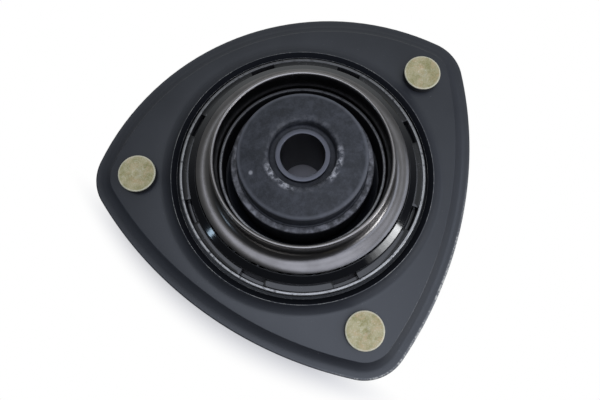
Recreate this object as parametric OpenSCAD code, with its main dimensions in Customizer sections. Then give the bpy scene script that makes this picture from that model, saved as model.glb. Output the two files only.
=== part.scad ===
// Strut mount with a built-in thrust bearing, strut side up.
// A three-cornered pressed plate carries three studs, a bonded rubber bush with a steel sleeve,
// and a ball bearing whose lower race turns with the spring seat.
// The origin lies on the bore axis, in the plane that seats against the strut tower.
// Sizes are millimetres and degrees. The front stud points along -Y and the studs hang down.

/* [Plate] */
// Sheet thickness of the pressed plate
plate_t = 2.6; // [2:0.1:3.4]
// Radius of the circle through the three studs
stud_circle_r = 65; // [63:0.5:70]
// Angle from the front stud to each rear stud
stud_spread = 110; // [106:1:118]
// Corner radius of the outline, concentric with each stud
corner_r = 18; // [16:0.5:21]
// Distance from the axis to the middle of each front side
front_waist_r = 65.8; // [65:0.1:69]
// Distance from the axis to the middle of the rear side
rear_waist_r = 67.5; // [66:0.1:70]
// Width of the coved rim around the outline
rim_w = 6.5; // [5:0.1:7]
// Inside bend radius at the root of the turned-up collar, as far as the stud heads leave room
plate_bend_r = 5; // [3:0.1:6]
// Angle through which the collar is turned up from the flat
collar_angle = 68; // [60:1:80]
// Straight length of the collar beyond its bend
plate_lip_h = 0.3; // [0.2:0.1:1.5]

/* [Studs] */
// Nominal thread diameter
stud_d = 8; // [6:0.5:10]
// Length below the seating plane
stud_len = 20; // [14:1:40]
// Diameter of the round head
stud_head_d = 14.8; // [13:0.2:18]
// Height of the round head
stud_head_h = 3.4; // [2.4:0.1:5]

/* [Bush] */
// Diameter of the bore for the piston rod
bore_d = 16.2; // [12:0.1:18]
// Wall of the inner sleeve
sleeve_wall = 1.8; // [1.4:0.1:2.6]
// Outer radius of the bush's steel shell
shell_r = 26.85; // [25:0.05:28]
// Wall of the bush's steel shell
shell_wall = 2.4; // [1.6:0.1:3]
// Height of the shell's upper edge above the seating plane
shell_top = 19.7; // [18:0.1:22]
// Height of the rubber disc's outer edge above the seating plane
disc_top = 29.2; // [26:0.1:32]
// Rise of the rubber face from the disc's edge to the pit round the sleeve
disc_rise = 2.4; // [1:0.1:4]
// Width of the pit round the sleeve
pit_w = 2.3; // [1.5:0.1:3]

/* [Housing] */
// Sheet thickness of the drawn bush housing
housing_t = 2.4; // [2:0.1:3]
// Depth of the pot below the seating plane
pot_depth = 11; // [10:0.5:14]
// Radius of the opening in the floor of the pot
pot_hole_r = 20; // [18:0.5:22]

/* [Bearing] */
// Ball diameter
ball_d = 7; // [6.4:0.1:7.4]
// Number of balls
ball_n = 24; // [20:2:28]
// Gap between the bush shell and the bearing
bush_gap = 3.55; // [2.5:0.05:4.5]
// Sheet thickness of the bearing case
case_t = 1.2; // [1:0.1:1.5]
// Sheet thickness of the lower race
race_t = 1.6; // [1.4:0.1:2]
// Height of the lower race's collar above its bead
collar_h = 12.2; // [8:0.1:15]
// Number of snap tabs round the plastic ring
tab_n = 8; // [6:1:12]
// Angle of the slot between two tabs
slot_angle = 12; // [8:1:16]

/* [Hidden] */
$fn = 96;
ARC_STEPS = 8;
RIM_STEPS = 5;

// Clearances: balls in their grooves and pockets, the turning race to the ring round it and to the case
// inside it, the ring in the case, the case in the plate, and the housing's flange to studs and rim
groove_play = 0.15;
pocket_play = 0.12;
turn_gap = 0.3;
collar_gap = 0.5;
snap_gap = 0.1;
case_gap = 1;
flange_gap = 1.2;

// Swell of the stud's shank where it is pressed into the plate
shank_swell = 0.25;

// Heights, from the seating plane up
rim_drop = housing_t;
flat_z = housing_t + plate_t;
pot_floor_z = housing_t - pot_depth;
case_floor_z = housing_t + case_t;
groove_r = ball_d / 2 + groove_play;
race_bed = 2.65;
ball_z = case_floor_z + race_bed + groove_r;
bead_swell = 0.2;
bead_r = groove_r + race_t + bead_swell;
bead_z = ball_z + bead_r;
collar_z = bead_z + collar_h;
case_rise = 1.35;
case_inner_z = bead_z + case_rise;

// Radii, from the axis out
bore_r = bore_d / 2;
sleeve_r = bore_r + sleeve_wall;
pit_r = sleeve_r + pit_w;
shell_in_r = shell_r - shell_wall;
disc_inset = 0.7;
disc_r = shell_in_r - disc_inset;
case_in_r = shell_r + bush_gap;
case_collar_r = case_in_r + case_t;
race_in_r = case_collar_r + collar_gap;
race_collar_r = race_in_r + race_t;
ball_shoulder = 1;
pitch_r = race_collar_r + ball_d / 2 + ball_shoulder;
race_half_w = ball_d / 2 - ball_shoulder;
race_out_r = pitch_r + race_half_w;
ring_in_r = race_out_r + turn_gap;
ring_cover_w = 4;
ring_tab_w = 1.9;
ring_step_r = ring_in_r + ring_cover_w;
ring_out_r = ring_step_r + ring_tab_w;
case_wall_r = ring_out_r + snap_gap;
case_out_r = case_wall_r + case_t;
plate_lip_r = case_out_r + case_gap;

// The collar's bend, which ends short of the stud heads, and the lip that it carries
lip_run = plate_lip_h * cos(collar_angle);
bend_room = stud_circle_r - stud_head_d / 2 - plate_lip_r - lip_run;
bend_r = min(plate_bend_r, bend_room / sin(collar_angle) - plate_t);
bend_out_r = bend_r + plate_t;
bend_z = flat_z + bend_r;
plate_root_r = plate_lip_r + bend_out_r * sin(collar_angle) + lip_run;
plate_lip_z = bend_z - bend_r * cos(collar_angle) + plate_lip_h * sin(collar_angle);

// Heights that follow the plate's lip
case_stand = 0.6;
case_outer_z = plate_lip_z + case_stand;
ring_stand = 0.3;
ring_step_h = 0.7;
ring_cover_h = 3.9;
tab_z = case_outer_z + ring_stand;
step_z = tab_z + ring_step_h;
cover_z = step_z + ring_cover_h;

// The flat keeps a strip round the collar's root, and the coved rim takes the room outside it at most
collar_strip = 2;
waist_r = min(front_waist_r, rear_waist_r);
cove_w = min(rim_w, waist_r - plate_root_r - 1.1 * collar_strip);
flange_r = min(waist_r - cove_w, stud_circle_r - stud_d / 2 - shank_swell) - flange_gap;

// Outline of the plate: three corner arcs joined by three tangent side arcs, counter-clockwise
STUD_ANGLES = [-90, stud_spread - 90, 270 - stud_spread];
SIDE_MIDS = [stud_spread / 2 - 90, 90, 270 - stud_spread / 2];
SIDE_HALVES = [stud_spread / 2, 180 - stud_spread, stud_spread / 2];
WAISTS = [front_waist_r, rear_waist_r, front_waist_r];
SIDES = [0, 1, 2];

BALL_NAMES = [for (i = [1:ball_n]) str("ball_", i < 10 ? "0" : "", i)];
STUD_NAMES = ["stud_front", "stud_right", "stud_left"];

BLACK_PAINT = "#26282b";
YELLOW_ZINC = "#d8d3b0";
DARK_STEEL = "#4a4d52";
SATIN_STEEL = "#8d9096";
GLOSS_BLACK = "#15161a";
RUBBER = "#3b3d42";

// Points along an arc about a centre
function arc(cx, cy, r, from, to, n = ARC_STEPS) =
    [for (i = [0:n]) let (a = from + (to - from) * i / n) [cx + r * cos(a), cy + r * sin(a)]];

function polar(r, a) = [r * cos(a), r * sin(a)];

function heading(from, to) = atan2(to[1] - from[1], to[0] - from[0]);

// Distance of a side arc's centre behind the axis, so that the arc is tangent to both corner arcs
function side_back(k) = let (reach = WAISTS[k] - corner_r)
    (stud_circle_r * stud_circle_r - reach * reach)
    / (2 * (reach - stud_circle_r * cos(SIDE_HALVES[k])));

function side_radius(k) = WAISTS[k] + side_back(k);

function side_centre(k) = polar(-side_back(k), SIDE_MIDS[k]);

function stud_at(k) = polar(stud_circle_r, STUD_ANGLES[k % 3]);

// Where side k starts and ends, as headings from its centre
function side_from(k) = heading(side_centre(k), stud_at(k));

function side_sweep(k) = (heading(side_centre(k), stud_at(k + 1)) - side_from(k) + 720) % 360;

// The corner at stud k runs from the end of the side before it to the start of its own side
function corner_from(k) = let (before = (k + 2) % 3) side_from(before) + side_sweep(before);

function corner_sweep(k) = (side_from(k) - corner_from(k) + 720) % 360;

// An arc without its two ends
function between_ends(points) = [for (i = [1:len(points) - 2]) points[i]];

// The outline moved inwards: each corner arc, then the side arc that follows it
function inner_outline(inset) = [for (k = SIDES) let (stud = stud_at(k), centre = side_centre(k)) each concat(
    arc(stud[0], stud[1], corner_r - inset, corner_from(k), corner_from(k) + corner_sweep(k)),
    between_ends(arc(centre[0], centre[1], side_radius(k) - inset,
        side_from(k), side_from(k) + side_sweep(k), 2 * ARC_STEPS)))];

// The same outline drawn in to a circle about the axis
function hole_outline(r) = [for (p = inner_outline(cove_w)) polar(r, atan2(p[1], p[0]))];

function lifted(points, z) = [for (p = points) [p[0], p[1], z]];

// A piece turned about the bore axis from its half section
module turned(points) {
    rotate_extrude() polygon(points);
}

// The flat with its coved rim: one closed skin through the outlines of the lower and the upper face
module plate_sheet() {
    hole_r = plate_root_r + collar_strip / 2;
    steps = [for (i = [0:RIM_STEPS]) i / RIM_STEPS];
    rings = concat(
        [for (u = steps) lifted(inner_outline(cove_w * u), rim_drop * u * u)],
        [for (z = [rim_drop, flat_z]) lifted(hole_outline(hole_r), z)],
        [for (i = [RIM_STEPS:-1:0]) let (u = steps[i])
            lifted(inner_outline(cove_w * u), rim_drop * u * u + plate_t)]);
    n = len(rings[0]);
    m = len(rings);
    polyhedron([for (ring = rings) each ring], [for (j = [0:m - 1], i = [0:n - 1])
        let (a = j * n, b = (j + 1) % m * n, next = (i + 1) % n)
        each [[a + i, a + next, b + next], [a + i, b + next, b + i]]]);
}

// Point of the collar's section, by its radius about the bend's centre and its length beyond the bend
function collar_point(r, along) = [
    plate_root_r - r * sin(collar_angle) - along * cos(collar_angle),
    bend_z - r * cos(collar_angle) + along * sin(collar_angle)];

// The turned-up collar round the middle of the plate, with its bend and a strip of the flat
module plate_collar() {
    outer = plate_root_r + collar_strip;
    edge = plate_lip_h;
    turned(concat(
        [[outer, rim_drop]],
        arc(plate_root_r, bend_z, bend_out_r, 270, 270 - collar_angle),
        [collar_point(bend_out_r - edge, plate_lip_h), collar_point(bend_r + edge, plate_lip_h)],
        arc(plate_root_r, bend_z, bend_r, 270 - collar_angle, 270),
        [[outer, flat_z]]));
}

module mounting_plate() {
    color(BLACK_PAINT) difference() {
        union() {
            plate_sheet();
            plate_collar();
        }
        for (k = SIDES) translate(stud_at(k)) cylinder(r = stud_d / 2 + shank_swell, h = 2 * flat_z);
    }
}

// Pressed-in stud with a round flat head, a shallow dimple and a chamfered end
module stud(k) {
    shank = stud_d / 2;
    head = stud_head_d / 2;
    top = flat_z + stud_head_h;
    chamfer = 0.6;
    dimple_r = 1.8;
    dimple = 0.5;
    translate(stud_at(k)) color(YELLOW_ZINC) turned([[0, -stud_len], [shank - 2 * chamfer, -stud_len],
        [shank, -stud_len + 2 * chamfer], [shank, rim_drop], [shank + shank_swell, rim_drop],
        [shank + shank_swell, flat_z], [head, flat_z], [head, top - chamfer], [head - chamfer, top],
        [dimple_r, top], [0, top - dimple]]);
}

// Drawn housing: a flange under the plate and a pot that holds the bush
module bush_housing() {
    bend = 2.5;
    bend_x = shell_r + housing_t + bend;
    corner = 3;
    wall = shell_r + housing_t;
    color(BLACK_PAINT) turned(concat(
        [[flange_r, 0], [flange_r, housing_t]],
        arc(bend_x, -bend, bend + housing_t, 90, 180),
        [[shell_r, pot_floor_z], [pot_hole_r, pot_floor_z], [pot_hole_r, -pot_depth]],
        arc(wall - corner, corner - pot_depth, corner, 270, 360),
        arc(bend_x, -bend, bend, 180, 90)));
}

module bush_shell() {
    edge = 0.5;
    color(SATIN_STEEL) turned([[shell_in_r, pot_floor_z], [shell_r, pot_floor_z], [shell_r, shell_top - edge],
        [shell_r - edge, shell_top], [shell_in_r, shell_top]]);
}

// Rubber bonded between shell and sleeve, standing out of the shell as a disc
module bush_rubber() {
    foot_gap = 0.6;
    bottom = pot_floor_z + foot_gap;
    edge = 1.1;
    pit_edge = 0.6;
    bond_w = 1.6;
    hub_z = disc_top + disc_rise;
    pit_drop = 2.4;
    pit_z = disc_top - pit_drop;
    recess_r = (shell_in_r - sleeve_r) / 2 - bond_w;
    color(RUBBER) turned(concat(
        [[sleeve_r, bottom]],
        arc((sleeve_r + shell_in_r) / 2, bottom, recess_r, 180, 0),
        [[shell_in_r, bottom], [shell_in_r, shell_top], [disc_r, shell_top]],
        arc(disc_r - edge, disc_top - edge, edge, 0, 80),
        arc(pit_r + edge, hub_z - edge, edge, 80, 180),
        [[pit_r, pit_z + pit_edge], [pit_r - pit_edge, pit_z], [sleeve_r, pit_z]]));
}

module inner_sleeve() {
    edge = 0.4;
    top = disc_top;
    floor_gap = 2;
    bottom = floor_gap - pot_depth;
    color(SATIN_STEEL) turned([[bore_r, bottom + edge], [bore_r + edge, bottom], [sleeve_r - edge, bottom],
        [sleeve_r, bottom + edge], [sleeve_r, top - edge], [sleeve_r - edge, top], [bore_r + edge, top],
        [bore_r, top - edge]]);
}

// Pressed channel that holds the bearing, with a tall inner collar and a short outer wall
module bearing_case() {
    inner_corner = 0.4;
    corner = case_t + inner_corner;
    edge = case_t / 4;
    color(SATIN_STEEL) turned(concat(
        arc(case_in_r + corner, housing_t + corner, corner, 180, 270, 4),
        arc(case_out_r - corner, housing_t + corner, corner, 270, 360, 4),
        [[case_out_r, case_outer_z - edge], [case_out_r - edge, case_outer_z]],
        [[case_wall_r + edge, case_outer_z], [case_wall_r, case_outer_z - edge]],
        [[case_wall_r, case_floor_z], [case_collar_r, case_floor_z]],
        [[case_collar_r, case_inner_z - edge], [case_collar_r - edge, case_inner_z]],
        [[case_in_r + edge, case_inner_z], [case_in_r, case_inner_z - edge]]));
}

// Fixed race, a plain ring with the ball groove in its upper face
module upper_race() {
    land = 1.6;
    half_w = ball_d / 2 + land;
    groove_rise = 1.7;
    shoulder = ball_z - groove_rise;
    edge = 0.5;
    grip = asin((ball_z - shoulder) / groove_r);
    color(DARK_STEEL) turned(concat(
        [[pitch_r - half_w, case_floor_z], [pitch_r + half_w, case_floor_z]],
        [[pitch_r + half_w, shoulder - edge], [pitch_r + half_w - edge, shoulder]],
        arc(pitch_r, ball_z, groove_r, -grip, grip - 180, 2 * ARC_STEPS),
        [[pitch_r - half_w + edge, shoulder], [pitch_r - half_w, shoulder - edge]]));
}

// Turning race, pressed from sheet: a bead over the balls and a tall collar that pilots the spring seat
module lower_race() {
    fillet = 4;
    fillet_x = race_collar_r + fillet;
    fillet_z = ball_z + sqrt(pow(bead_r + fillet, 2) - pow(pitch_r - fillet_x, 2));
    meet = heading([pitch_r, ball_z], [fillet_x, fillet_z]);
    bead_end = acos(race_half_w / bead_r);
    groove_end = acos(race_half_w / groove_r);
    rim_z = ball_z + groove_r * sin(groove_end);
    edge = race_t / 2;
    color(DARK_STEEL) turned(concat(
        [[race_in_r, rim_z]],
        arc(race_in_r + edge, collar_z - edge, edge, 180, 0),
        arc(fillet_x, fillet_z, fillet, 180, meet + 180),
        arc(pitch_r, ball_z, bead_r, meet - 4, bead_end),
        arc(pitch_r, ball_z, groove_r, groove_end, 180 - groove_end, 2 * ARC_STEPS)));
}

module ball_cage() {
    half_w = ball_d / 2 + ball_shoulder;
    thick = 1.6;
    pocket_r = ball_d / 2 + pocket_play;
    sink = 1.1;
    low = ball_z - sink;
    color(GLOSS_BLACK) difference() {
        turned([[pitch_r - half_w, low], [pitch_r + half_w, low],
            [pitch_r + half_w, low + thick], [pitch_r - half_w, low + thick]]);
        for (i = [1:ball_n]) translate([0, 0, low - thick]) translate(polar(pitch_r, 360 * i / ball_n))
            cylinder(r = pocket_r, h = 3 * thick);
    }
}

module ball(i) {
    translate([0, 0, ball_z]) translate(polar(pitch_r, 360 * i / ball_n)) color(SATIN_STEEL)
        sphere(d = ball_d);
}

// Plastic snap ring: a sloped cover over the balls and a skirt whose tabs are parted by slots
module retainer_ring() {
    foot_z = case_floor_z + snap_gap;
    slot_h = 3.6;
    slot_root = 0.15;
    slot_r = ring_step_r + slot_root;
    wall = 1.6;
    cover_t = 1.3;
    edge = 0.5;
    color(GLOSS_BLACK) difference() {
        turned([[ring_out_r, foot_z], [ring_out_r, tab_z], [ring_step_r, tab_z], [ring_step_r, step_z],
            [ring_in_r + edge, cover_z], [ring_in_r, cover_z - edge], [ring_in_r, cover_z - cover_t],
            [ring_step_r - edge, step_z - cover_t / 2], [ring_out_r - wall, tab_z - cover_t],
            [ring_out_r - wall, foot_z]]);
        for (i = [1:tab_n]) rotate(360 * i / tab_n - slot_angle / 2)
            rotate_extrude(angle = slot_angle) translate([slot_r, tab_z - slot_h])
                square([2 * ring_tab_w, 2 * slot_h]);
    }
}

mounting_plate();
for (k = SIDES) stud(k);
bush_housing();
bush_shell();
bush_rubber();
inner_sleeve();
bearing_case();
upper_race();
lower_race();
ball_cage();
retainer_ring();
for (i = [1:ball_n]) ball(i);
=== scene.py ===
"""Looks of a strut mount with a built-in thrust bearing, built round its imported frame.

The part lies strut side up. Sizes in the classes are millimetres and degrees, and the meshes are metres in
the frame's own axes: +Z along the bore towards the strut, -Y towards the front stud.
"""

from __future__ import annotations

import logging
import math
from dataclasses import dataclass
from enum import Enum
from typing import NamedTuple, Sequence

import bmesh
import bpy
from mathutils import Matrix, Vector

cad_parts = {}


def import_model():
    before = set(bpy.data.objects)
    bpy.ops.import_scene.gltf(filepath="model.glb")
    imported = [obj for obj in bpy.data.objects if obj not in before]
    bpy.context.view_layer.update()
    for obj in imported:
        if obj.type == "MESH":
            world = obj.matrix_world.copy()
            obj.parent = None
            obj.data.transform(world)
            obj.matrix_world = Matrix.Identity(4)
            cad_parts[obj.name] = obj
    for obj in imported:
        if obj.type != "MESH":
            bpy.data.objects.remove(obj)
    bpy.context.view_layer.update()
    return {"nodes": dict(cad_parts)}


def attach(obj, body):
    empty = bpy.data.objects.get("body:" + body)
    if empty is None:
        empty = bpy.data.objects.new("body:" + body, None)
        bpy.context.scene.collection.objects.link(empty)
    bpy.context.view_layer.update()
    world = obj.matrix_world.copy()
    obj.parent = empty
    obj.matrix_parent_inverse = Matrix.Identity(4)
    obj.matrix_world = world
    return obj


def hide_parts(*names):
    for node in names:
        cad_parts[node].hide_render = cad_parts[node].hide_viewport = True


LOG = logging.getLogger("strut_mount")
MM = 0.001
TURN_STEPS = 180
RING_STEPS = 240
STUD_STEPS = 72
FILLET_STEPS = 4
SHARP_ANGLE = 32.0
WELD = 1e-7
WEAR = "wear"
UP = (0.0, 0.0, 1.0)

Colour = tuple[float, float, float]
Point = tuple[float, float]


class Body(Enum):
    """Rigid bodies of the frame that new pieces ride on."""

    MOUNT = "mount"
    RACE = "race"


class LampShape(Enum):
    """Outlines of the lamps."""

    WINDOW = "RECTANGLE"
    ROUND = "ELLIPSE"


class Corner(NamedTuple):
    """Corner of a half section: radius, height, fillet radius and how far its edge is worn bare."""

    r: float
    z: float
    fillet: float = 0.0
    wear: float = 0.0


def polar(radius: float, angle: float) -> Vector:
    """Point at a radius and an angle in degrees."""
    return Vector((radius * math.cos(math.radians(angle)), radius * math.sin(math.radians(angle))))


def arc(centre: Point, radius: float, start: float, end: float, steps: int = 12) -> list[Corner]:
    """Draw a round stretch of a half section.

    Args:
        centre: Centre of the arc, as radius and height.
        radius: Radius of the arc.
        start: First angle in degrees.
        end: Last angle in degrees.
        steps: Number of chords.

    Returns:
        Corners along the arc, both ends included.
    """
    corners = []
    for i in range(steps + 1):
        spoke = polar(radius, start + (end - start) * i / steps)
        corners.append(Corner(centre[0] + spoke.x, centre[1] + spoke.y))
    return corners


def rounded(corners: Sequence[Corner]) -> list[Corner]:
    """Round each corner that has a fillet.

    Args:
        corners: Corners of a closed half section, in order.

    Returns:
        The section's points, with an arc in place of each filleted corner.
    """
    points: list[Corner] = []
    for i, corner in enumerate(corners):
        if not corner.fillet:
            points.append(corner)
            continue
        here = Vector(corner[:2])
        back = (Vector(corners[i - 1][:2]) - here).normalized()
        ahead = (Vector(corners[(i + 1) % len(corners)][:2]) - here).normalized()
        half = back.angle(ahead) / 2
        centre = here + (back + ahead).normalized() * (corner.fillet / math.sin(half))
        reach = corner.fillet / math.tan(half)
        first = here + back * reach - centre
        last = here + ahead * reach - centre
        for step in range(FILLET_STEPS + 1):
            point = centre + first.slerp(last, step / FILLET_STEPS).normalized() * corner.fillet
            points.append(Corner(point.x, point.y, 0.0, corner.wear))
    return points


def as_object(bm: bmesh.types.BMesh, name: str) -> bpy.types.Object:
    """Turn a finished bmesh into a smooth-shaded object.

    Args:
        bm: The mesh, which is freed.
        name: Name of the object and its mesh.

    Returns:
        The new object, linked to the scene and sitting at the origin.
    """
    mesh = bpy.data.meshes.new(name)
    bm.to_mesh(mesh)
    bm.free()
    mesh.shade_smooth()
    mesh.set_sharp_from_angle(angle=math.radians(SHARP_ANGLE))
    piece = bpy.data.objects.new(name, mesh)
    bpy.context.scene.collection.objects.link(piece)
    return piece


def spin_section(
    bm: bmesh.types.BMesh,
    section: Sequence[Corner],
    centre: Vector = Vector((0.0, 0.0)),
    closed: bool = True,
    steps: int = TURN_STEPS,
) -> None:
    """Turn a half section through a full circle about an upright axis.

    Args:
        bm: Mesh that takes the new faces.
        section: Points of the half section, each with its wear.
        centre: Place of the axis, in millimetres.
        closed: Whether the last point joins the first.
        steps: Number of faces round the circle.
    """
    wear = bm.verts.layers.float.get(WEAR) or bm.verts.layers.float.new(WEAR)
    axis = Vector((centre.x, centre.y, 0.0)) * MM
    verts = []
    for point in section:
        vert = bm.verts.new(axis + Vector((point.r, 0.0, point.z)) * MM)
        vert[wear] = point.wear
        verts.append(vert)
    ends = verts[1:] + verts[:1] if closed else verts[1:]
    edges = [bm.edges.new(pair) for pair in zip(verts, ends)]
    bmesh.ops.spin(
        bm,
        geom=verts + edges,
        cent=axis,
        axis=UP,
        angle=math.tau,
        steps=steps,
        use_merge=True,
        use_duplicate=False,
    )


def close_up(bm: bmesh.types.BMesh) -> None:
    """Weld doubled vertices and point every face outwards.

    Args:
        bm: The mesh.
    """
    bmesh.ops.remove_doubles(bm, verts=bm.verts[:], dist=WELD)
    bmesh.ops.dissolve_degenerate(bm, edges=bm.edges[:], dist=WELD)
    bmesh.ops.recalc_face_normals(bm, faces=bm.faces[:])


def turned(name: str, section: Sequence[Corner]) -> bpy.types.Object:
    """Build a piece turned about the bore axis from its closed half section.

    Args:
        name: Name of the piece.
        section: Its half section.

    Returns:
        The piece.
    """
    bm = bmesh.new()
    spin_section(bm, section)
    close_up(bm)
    return as_object(bm, name)


class Shade:
    """Node tree of one finish, with short calls for the nodes that the finishes share."""

    def __init__(self, name: str) -> None:
        """Start a material with an empty principled surface.

        Args:
            name: Name of the material.
        """
        self.material = bpy.data.materials.new(name)
        self.material.use_nodes = True
        self.nodes = self.material.node_tree.nodes
        self.links = self.material.node_tree.links
        self.nodes.clear()
        self.surface = self.nodes.new("ShaderNodeBsdfPrincipled")
        self.output = self.nodes.new("ShaderNodeOutputMaterial")
        self.links.new(self.surface.outputs["BSDF"], self.output.inputs["Surface"])
        self.coords = self.nodes.new("ShaderNodeTexCoord").outputs["Object"]

    def feed(self, socket: bpy.types.NodeSocket, value: object) -> None:
        """Link a socket, or set a plain value on it.

        Args:
            socket: Input to feed.
            value: An output to link, or a number or colour.
        """
        if isinstance(value, bpy.types.NodeSocket):
            self.links.new(value, socket)
        elif isinstance(value, tuple) and len(value) == 3 and socket.type == "RGBA":
            socket.default_value = (*value, 1.0)
        else:
            socket.default_value = value

    def noise(self, size: float, detail: float = 4.0, rough: float = 0.55) -> bpy.types.NodeSocket:
        """Noise whose lumps are about a size in millimetres.

        Args:
            size: Size of the lumps.
            detail: Number of finer layers.
            rough: Weight of the finer layers.

        Returns:
            Socket of the result.
        """
        node = self.nodes.new("ShaderNodeTexNoise")
        self.links.new(self.coords, node.inputs["Vector"])
        node.inputs["Scale"].default_value = 1.0 / (size * MM)
        node.inputs["Detail"].default_value = detail
        node.inputs["Roughness"].default_value = rough
        return node.outputs["Fac"]

    def step(self, value: object, low: float, high: float) -> bpy.types.NodeSocket:
        """Smooth step of a value from 0 at low to 1 at high.

        Args:
            value: The value.
            low: Where the step starts.
            high: Where the step ends.

        Returns:
            Socket of the result.
        """
        node = self.nodes.new("ShaderNodeMapRange")
        node.interpolation_type = "SMOOTHSTEP"
        self.feed(node.inputs["Value"], value)
        node.inputs["From Min"].default_value = low
        node.inputs["From Max"].default_value = high
        return node.outputs["Result"]

    def spread(self, value: object, low: float, high: float) -> bpy.types.NodeSocket:
        """Stretch a 0 to 1 value to a range.

        Args:
            value: The value.
            low: Result at 0.
            high: Result at 1.

        Returns:
            Socket of the result.
        """
        node = self.nodes.new("ShaderNodeMapRange")
        self.feed(node.inputs["Value"], value)
        node.inputs["To Min"].default_value = low
        node.inputs["To Max"].default_value = high
        return node.outputs["Result"]

    def math(self, operation: str, first: object, second: object = 0.0) -> bpy.types.NodeSocket:
        """Combine two numbers.

        Args:
            operation: Name of the operation.
            first: First number.
            second: Second number, where it has one.

        Returns:
            Socket of the result.
        """
        node = self.nodes.new("ShaderNodeMath")
        node.operation = operation
        self.feed(node.inputs[0], first)
        self.feed(node.inputs[1], second)
        return node.outputs[0]

    def blend(self, share: object, first: object, second: object) -> bpy.types.NodeSocket:
        """Mix two colours by a share of the second.

        Args:
            share: Share of the second, from 0 to 1.
            first: First colour.
            second: Second colour.

        Returns:
            Socket of the result.
        """
        node = self.nodes.new("ShaderNodeMix")
        node.data_type = "RGBA"
        self.feed(node.inputs[0], share)
        self.feed(node.inputs[6], first)
        self.feed(node.inputs[7], second)
        return node.outputs[2]

    def split(self, vector: bpy.types.NodeSocket) -> tuple[bpy.types.NodeSocket, ...]:
        """X, Y and Z of a vector.

        Args:
            vector: The vector.

        Returns:
            Its three sockets.
        """
        node = self.nodes.new("ShaderNodeSeparateXYZ")
        self.links.new(vector, node.inputs[0])
        return tuple(node.outputs)

    def place(self) -> tuple[bpy.types.NodeSocket, bpy.types.NodeSocket]:
        """Distance from the bore axis and height, both in metres.

        Returns:
            The two sockets.
        """
        x, y, z = self.split(self.coords)
        squares = self.math("ADD", self.math("MULTIPLY", x, x), self.math("MULTIPLY", y, y))
        return self.math("SQRT", squares), z

    def near(self, spot: tuple[float, float, float], inner: float, outer: float) -> bpy.types.NodeSocket:
        """1 within an inner distance of a spot and 0 beyond an outer one, in millimetres.

        Args:
            spot: The spot.
            inner: Inner distance.
            outer: Outer distance.

        Returns:
            Socket of the result.
        """
        node = self.nodes.new("ShaderNodeVectorMath")
        node.operation = "DISTANCE"
        self.links.new(self.coords, node.inputs[0])
        node.inputs[1].default_value = Vector(spot) * MM
        return self.math("SUBTRACT", 1.0, self.step(node.outputs["Value"], inner * MM, outer * MM))

    def worn(self) -> bpy.types.NodeSocket:
        """The wear that a piece's mesh carries.

        Returns:
            Socket of the result.
        """
        node = self.nodes.new("ShaderNodeAttribute")
        node.attribute_name = WEAR
        return node.outputs["Fac"]

    def bump(self, height: object, depth: float) -> None:
        """Raise the surface by a height of 0 to 1, at a depth in millimetres.

        Args:
            height: The height.
            depth: Depth of the relief.
        """
        node = self.nodes.new("ShaderNodeBump")
        node.inputs["Distance"].default_value = depth * MM
        self.feed(node.inputs["Height"], height)
        self.links.new(node.outputs["Normal"], self.surface.inputs["Normal"])

    def set(self, **inputs: object) -> None:
        """Set or link inputs of the surface, such as base_color or roughness."""
        for name, value in inputs.items():
            self.feed(self.surface.inputs[name.replace("_", " ").title().replace("Ior", "IOR")], value)


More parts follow.
